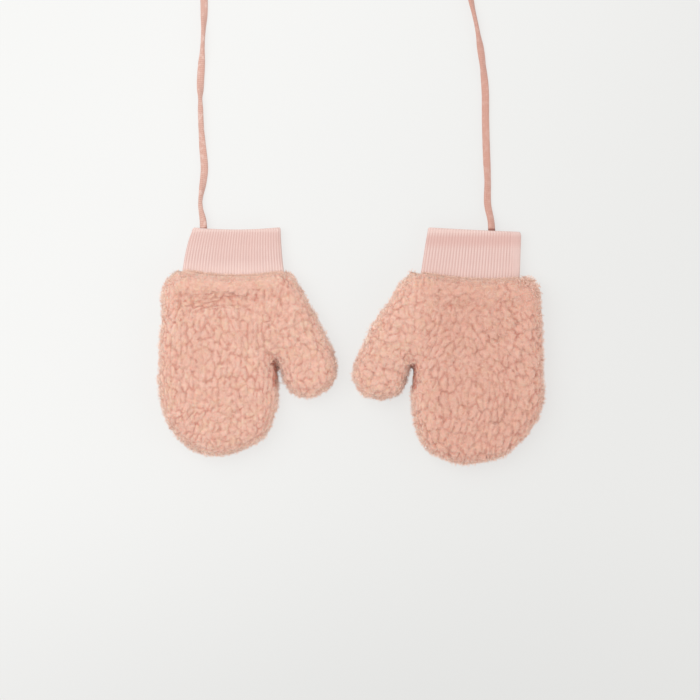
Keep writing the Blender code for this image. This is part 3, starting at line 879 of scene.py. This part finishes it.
def nap_tree(hand, material):
    """Raises nubs, furrows and curls on a panel, and stores how deep in a furrow each point lies, for painted
    shade.
    """
    nap = Growth(
        "nap",
        Furrow_depth=FURROW_DEPTH,
        Furrow_half_width=FURROW_HALF_WIDTH,
        Line_half_width=LINE_HALF_WIDTH,
        Nub_unevenness=NUB_UNEVENNESS,
        Nub_crown=NUB_CROWN,
        Rim_inset=RIM_INSET,
        Rim_lumps=RIM_LUMPS,
        Rim_wander=RIM_WANDER,
        Lean=hand["lean"],
        Curl_size=CURL_SIZE,
        Curl_height=CURL_HEIGHT,
        Fibre_height=FIBRE_HEIGHT,
        Seed=hand["seed"],
        Material=material,
    )
    flat_spot = nap.vector("SCALE", nap.place, 1 / MM)
    spot = nap.vector("ADD", flat_spot, nap.joined(X=nap.input("Seed"), Z=nap.input("Seed")))
    # the nubs' pattern lies flat on the top, and its sides fold down from there
    down = UNFOLD_FROM - nap.part(flat_spot, 2)
    flat = nap.vector("ADD", spot, nap.vector("SCALE", nap.normal, down))
    flat = nap.vector("MULTIPLY", flat, (1.0, 1.0, 0.0))
    warped = flat
    for scale, reach in WANDERING:
        warped = nap.vector("ADD", warped, nap.centred(flat, scale, 1.0, reach))
    furrow, line, unevenness = 0.0, 0.0, 0.0
    for x, y, half_width, half_height, flow, stretch, size, share, swell in hand["flows"]:
        turned = nap.node(
            "ShaderNodeVectorRotate",
            {"rotation_type": "Z_AXIS"},
            {"Vector": warped, "Angle": -math.radians(flow)},
        ).outputs[0]
        cell = nap.vector("MULTIPLY", turned, (1 / (size * stretch), 1 / size, 0.0))
        edge = Value(nap, nap.cells(cell, "DISTANCE_TO_EDGE").outputs["Distance"]) * size
        own = nap.cells(cell, "F1")
        from_middle = nap.vector("SUBTRACT", cell, own.outputs["Position"])
        here = (1 - (edge / nap.input("Furrow half width")).maths("MINIMUM", 1.0)) ** FURROW_POWER
        here = here * share
        line_here = (1 - (edge / nap.input("Line half width")).maths("MINIMUM", 1.0)) * share
        chance = nap.part(own.outputs["Color"], 0) - 0.5
        rise = nap.input("Nub unevenness") * chance + nap.input("Lean") * nap.part(from_middle, 0) * -1.0
        crown = 1 - (Value(nap, own.outputs["Distance"]) * CROWN_NARROWING).maths("MINIMUM", 1.0) ** 2.0
        rise = (rise + nap.input("Nub crown") * crown) * share + swell
        if half_width == 0:
            furrow, line, unevenness = here, line_here, rise
            continue
        off = nap.oval_distance(flat_spot, x, y, half_width, half_height)
        weight = off.ramp(0.7, 1.25, 1.0, 0.0)
        furrow = furrow + (here - furrow) * weight
        line = line + (line_here - line) * weight
        unevenness = unevenness + (rise - unevenness) * weight
    # furrows fade and deepen again along their way, so that nubs run into each other in places
    strength = nap.cloud(spot, 0.16, 2.0).ramp(0.32, 0.62, 0.4, 1.0)
    strength = strength * nap.cloud(spot, 0.4, 1.0).ramp(0.3, 0.58, 0.15, 1.0)
    furrow = furrow * strength
    line = line * strength
    curl_spot = nap.vector("ADD", spot, nap.centred(spot, 0.6, 1.0, 1.6))
    curl_cell = nap.vector("SCALE", curl_spot, 1 / nap.input("Curl size"))
    curl = Value(nap, nap.cells(curl_cell, "F1", "3D").outputs["Distance"]).ramp(0.15, 0.75, 1.0, 0.0)
    fibre = nap.cloud(spot, 1.1, 2.0) - 0.5
    height = unevenness - furrow * nap.input("Furrow depth")
    height = height + (curl - 0.5) * nap.input("Curl height") + fibre * 2.0 * nap.input("Fibre height")
    pile = nap.named("pile")
    wrist = nap.named("wrist")
    depth = line + (1 - curl) * CURL_HOLLOWS
    # how deep in a furrow or curl hollow each point lies, darkened as painted shade
    stored = nap.store(nap.geometry, "furrow", depth * pile * (1 - wrist))
    slot = nap.oval_distance(flat_spot, *hand["slot"], *SLOT_REACH).ramp(0.6, 1.2, 1.0, 0.0)
    edge = 1 - nap.part(nap.normal, 2).maths("ABSOLUTE")
    stored = nap.store(stored, "slot", slot * edge.ramp(0.1, 0.4))
    stored = nap.store(stored, "edge", edge * pile * (1 - slot) * (1 - wrist))
    height = height * (1 + nap.input("Rim lumps") * edge)
    wander = (nap.cloud(spot, 0.13, 2.0) - 0.5) * nap.input("Rim wander") - nap.input("Rim inset")
    height = height + (wander - slot * SLOT_INSET) * edge
    height = height * pile * (1 - wrist) + wrist * WRIST_PUFF
    offset = nap.vector("SCALE", nap.normal, height * MM)
    moved = nap.node("GeometryNodeSetPosition", None, {"Geometry": stored, "Offset": offset}).outputs[0]
    nap.finish(nap.above_table(moved))
    return nap


def paler_at_edges(cloth, shade):
    """Pale tips and painted light on rims seen from the side, and painted light over the wrist seam's shade.
    """
    shade = cloth.blend(cloth.attribute("edge").ramp(0.15, 0.9, 0.0, 0.7), shade, PALE_TIPS_AND_RIM_LIGHT)
    return cloth.blend(cloth.attribute("wrist") * 0.8, shade, PALE_TIPS_AND_RIM_LIGHT)


def fleece_material():
    """Soft matte pile: pale on the nubs, painted shade of deeper salmon in the furrows, with fine fibres all
    over.
    """
    fleece = Shader("fleece", Roughness=0.95, Sheen_Weight=0.8, Sheen_Roughness=0.4, **PILE_DEPTH)
    shade = fleece.blend(fleece.attribute("furrow").ramp(0.1, 0.9), PILE_NUB, PILE_FURROW_SHADE)
    tone = fleece.cloud(fleece.place, 60.0, 3.0).ramp(0.35, 0.7, 0.0, 0.35)
    shade = fleece.blend(tone, shade, PILE_TONE)
    warmth = fleece.cloud(fleece.place, 210.0, 2.0).ramp(0.45, 0.7, 0.0, 0.5)
    shade = fleece.blend(warmth, shade, PILE_WARMTH)
    shade = paler_at_edges(fleece, shade)
    # painted shade on the wall beside the slot between thumb and hand
    shade = fleece.blend(fleece.attribute("slot").ramp(0.3, 0.8), shade, SLOT_PAINTED_SHADE)
    right = fleece.part(fleece.place, 0).ramp(0.03, 0.055, 0.0, 0.4)
    shade = fleece.blend(right, shade, PILE_TO_THE_RIGHT)
    strands = fleece.cloud(fleece.place, 2600.0, 3.0, 0.6)
    shade = fleece.blend(strands.ramp(0.4, 0.75, 0.0, 0.3), shade, PILE_STRANDS)
    return fleece.finish(Base_Color=shade, Normal=fleece.bump(strands, 0.00025, 0.9))


def fuzz_tree(side_only, material):
    """Grows short curled hairs on a finished panel, thicker where it turns down at its edge."""
    fuzz = Growth(
        "fuzz",
        Hairs_per_square_mm=HAIRS_PER_MM2,
        Hair_length=HAIR_LENGTH,
        Hair_width=HAIR_WIDTH,
        Seed=5,
        Material=material,
    )
    inputs = {"Resolution": HAIR_STEPS, **HAIR_CURVE}
    line = fuzz.node("GeometryNodeCurveQuadraticBezier", None, inputs).outputs[0]
    share = Value(fuzz, fuzz.node("GeometryNodeSplineParameter").outputs["Factor"])
    line = fuzz.store(line, "toward tip", share)
    inputs = {"Curve": line, "Radius": 1 - share**2.0 * HAIR_TAPER}
    thin = fuzz.node("GeometryNodeSetCurveRadius", None, inputs).outputs[0]
    half = fuzz.input("Hair width") / fuzz.input("Hair length") * 0.5
    inputs = {"Start": fuzz.joined(Y=half * -1.0), "End": fuzz.joined(Y=half)}
    across = fuzz.node("GeometryNodeCurvePrimitiveLine", None, inputs).outputs[0]
    inputs = {"Curve": thin, "Profile Curve": across}
    hair = fuzz.node("GeometryNodeCurveToMesh", None, inputs).outputs[0]
    up = fuzz.part(fuzz.normal, 2)
    wrist = fuzz.named("wrist")
    from_seam = (fuzz.part(fuzz.place, 2) / MM - SEAM_LEVEL).maths("ABSOLUTE")
    at_seam = (1 - (from_seam / SEAM_REACH).maths("MINIMUM", 1.0)) * fuzz.named("pile") * (1 - wrist)
    crowd = fuzz.named("pile") * (SIDE_CROWD - up * TOP_THINNING)
    crowd = crowd + wrist * WRIST_CROWD + at_seam * SEAM_CROWD
    crowd = crowd * (1 - fuzz.named("slot") * SLOT_THINNING)
    # a palm's hairs show only round its sides, as its underside lies on the table
    if side_only:
        crowd = crowd * up.ramp(-0.9, -0.6)
    density = crowd * fuzz.input("Hairs per square mm") / MM**2
    spread = fuzz.node(
        "GeometryNodeDistributePointsOnFaces",
        {"distribute_method": "RANDOM"},
        {"Mesh": fuzz.geometry, "Density": density, "Seed": fuzz.input("Seed")},
    )
    # each hair stands off the cloth, tangled a little, and leans over the seam that it is near
    inputs = {0: (-1.0,) * 3, 1: (1.0,) * 3, "Seed": 1}
    turns = fuzz.node("FunctionNodeRandomValue", {"data_type": "FLOAT_VECTOR"}, inputs).outputs[0]
    lean = wrist * WRIST_LEAN_UP + at_seam * (SEAM_LEAN if side_only else -SEAM_LEAN)
    way = fuzz.vector("ADD", spread.outputs["Normal"], fuzz.vector("SCALE", turns, HAIR_TANGLE))
    way = fuzz.vector("ADD", way, fuzz.joined(Y=wrist * WRIST_LEAN, Z=lean))
    stand = fuzz.node("FunctionNodeAlignRotationToVector", {"axis": "Z"}, {"Vector": way}).outputs[0]
    inputs = {"Axis": (0.0, 0.0, 1.0), "Angle": fuzz.random(0.0, 2 * math.pi, 2)}
    spin = fuzz.node("FunctionNodeAxisAngleToRotation", None, inputs).outputs[0]
    inputs = {"Rotation": stand, "Rotate By": spin}
    stand = fuzz.node("FunctionNodeRotateRotation", {"rotation_space": "LOCAL"}, inputs).outputs[0]
    x, y, reach, longer = LONG_HAIRS
    off = fuzz.oval_distance(fuzz.vector("SCALE", fuzz.place, 1 / MM), x, y, 1.0, 1.0)
    own = fuzz.random(*HAIR_SIZES, 3)
    longest = off.ramp(reach * 0.4, reach, longer, 0.0) + at_seam * SEAM_HAIRS_LONGER + 1
    size = own * longest * fuzz.input("Hair length") * MM
    inputs = {"Points": spread.outputs["Points"], "Instance": hair, "Rotation": stand, "Scale": size}
    hairs = fuzz.node("GeometryNodeInstanceOnPoints", None, inputs).outputs[0]
    hairs = fuzz.store(hairs, "own tint", own, "INSTANCE")
    hairs = fuzz.node("GeometryNodeRealizeInstances", None, {0: hairs}).outputs[0]
    fuzz.finish(fuzz.above_table(hairs))
    return fuzz


def hair_material():
    """Single hairs, paler towards their tips, each with a tint of its own and painted shade in a furrow."""
    hairs = Shader("fleece_hairs", Roughness=0.9, Sheen_Weight=1.0, Sheen_Roughness=0.4)
    shade = hairs.blend(hairs.attribute("toward tip").ramp(0.1, 0.9), HAIR_ROOT, HAIR_TIP)
    own = hairs.attribute("own tint").ramp(*HAIR_SIZES, 0.0, 0.5)
    shade = hairs.blend(own, shade, HAIR_TINT)
    shade = paler_at_edges(hairs, shade)
    # painted shade on hairs that grow in a furrow
    furrow = hairs.attribute("furrow").ramp(0.15, 0.8, 0.0, 0.8)
    shade = hairs.blend(furrow, shade, HAIR_FURROW_SHADE)
    # painted shade on hairs beside the slot between thumb and hand
    shade = hairs.blend(hairs.attribute("slot").ramp(0.3, 0.8), shade, SLOT_PAINTED_SHADE)
    return hairs.finish(Base_Color=shade)


pile_skin = fleece_material()
pile_hairs = hair_material()
for hand, cuff_sizes in zip(HANDS, CUFFS):
    for panel_name, sign, voxel in (("back", 1.0, BACK_VOXEL), ("palm", -1.0, PALM_VOXEL)):
        node = f"mitten_{hand['name']}_{panel_name}"
        panel = fine_panel(node, sign, voxel, cuff_sizes["seam"])
        shell = nap_tree(hand, pile_skin).grow(panel, f"fleece_{panel_name}_{hand['name']}")
        shell.data.shade_smooth()
        bpy.data.objects.remove(panel)
        coat = fuzz_tree(panel_name == "palm", pile_hairs)
        fuzz = coat.grow(shell, f"fuzz_{panel_name}_{hand['name']}")
        for piece in (shell, fuzz):
            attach(piece, "root")
            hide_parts(node)
